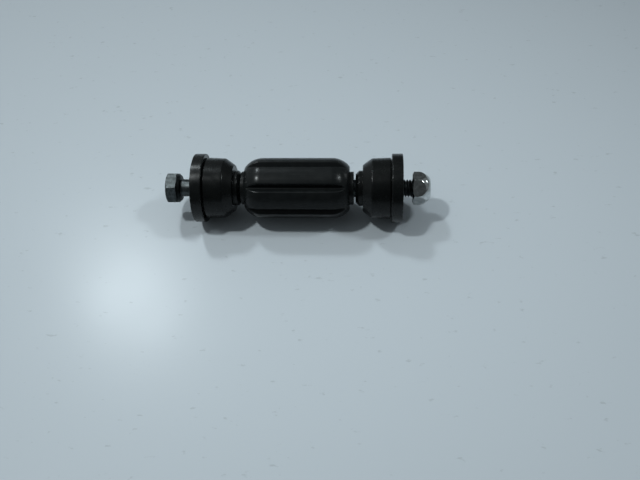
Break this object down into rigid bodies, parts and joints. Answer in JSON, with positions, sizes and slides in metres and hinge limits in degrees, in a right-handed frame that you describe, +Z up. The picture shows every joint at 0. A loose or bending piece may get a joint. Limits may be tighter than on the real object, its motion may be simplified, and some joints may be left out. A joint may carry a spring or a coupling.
{
  "type": "stabilizer link",
  "caption": "Bolt-through stabilizer link: fluted spacer between tapered rubber bushes seated in cup washers on a hex bolt with a lock nut, to join an anti-roll bar eye to an arm.",
  "frame": {"origin": "middle of the overall length, on the bolt's axis", "axes": "+X along the bolt from its head to its nut, +Z up with the link lying on its side"},
  "size_m": [0.119, 0.031, 0.031],
  "materials": {
    "bolt_steel": "dark phosphated steel, satin",
    "cup_plastic": "black moulded plastic, satin",
    "bush_rubber": "black moulded rubber, dull sheen",
    "tube_steel": "black coated steel tube, satin",
    "sleeve_plastic": "black moulded plastic, satin",
    "insert_nylon": "natural nylon",
    "nut_zinc": "bright zinc plate"
  },
  "bodies": {
    "bolt": {"bolt": "bolt_steel"},
    "spacer_tube": {"spacer_tube": "tube_steel"},
    "spacer_sleeve": {"spacer_sleeve": "sleeve_plastic"},
    "head_bush": {"head_bush": "bush_rubber"},
    "head_cup_washer": {"head_cup_washer": "cup_plastic"},
    "nut_bush": {"nut_bush": "bush_rubber"},
    "nut_cup_washer": {"nut_cup_washer": "cup_plastic"},
    "nut_insert": {"nut_insert": "insert_nylon"},
    "lock_nut": {"lock_nut": "nut_zinc"}
  },
  "joints": [
    {"name": "spacer_slide", "type": "slide", "parent": "bolt", "child": "spacer_tube", "axis": [1, 0, 0], "range_m": [-0.0016, 0.0008]},
    {"name": "sleeve_spin", "type": "hinge", "parent": "spacer_tube", "child": "spacer_sleeve", "pos_m": [0, 0, 0], "axis": [1, 0, 0], "continuous": true},
    {"name": "head_bush_slide", "type": "slide", "parent": "spacer_tube", "child": "head_bush", "axis": [1, 0, 0], "range_m": [-0.0032, 0]},
    {"name": "head_cup_slide", "type": "slide", "parent": "head_bush", "child": "head_cup_washer", "axis": [1, 0, 0], "range_m": [-0.0018, 0]},
    {"name": "nut_bush_slide", "type": "slide", "parent": "spacer_tube", "child": "nut_bush", "axis": [1, 0, 0], "range_m": [-0.0008, 0.0014]},
    {"name": "nut_cup_slide", "type": "slide", "parent": "nut_bush", "child": "nut_cup_washer", "axis": [1, 0, 0], "range_m": [0, 0.0008]},
    {"name": "nut_travel", "type": "slide", "parent": "bolt", "child": "nut_insert", "axis": [1, 0, 0], "range_m": [-0.0013, 0.0038]},
    {"name": "nut_turn", "type": "hinge", "parent": "nut_insert", "child": "lock_nut", "pos_m": [0.05552, 0, 0], "axis": [1, 0, 0], "range_deg": [-360, 1080]}
  ],
  "couplings": [
    {"joint": "nut_travel", "follows": "nut_turn", "m_per_rad": 0.00019894}
  ]
}
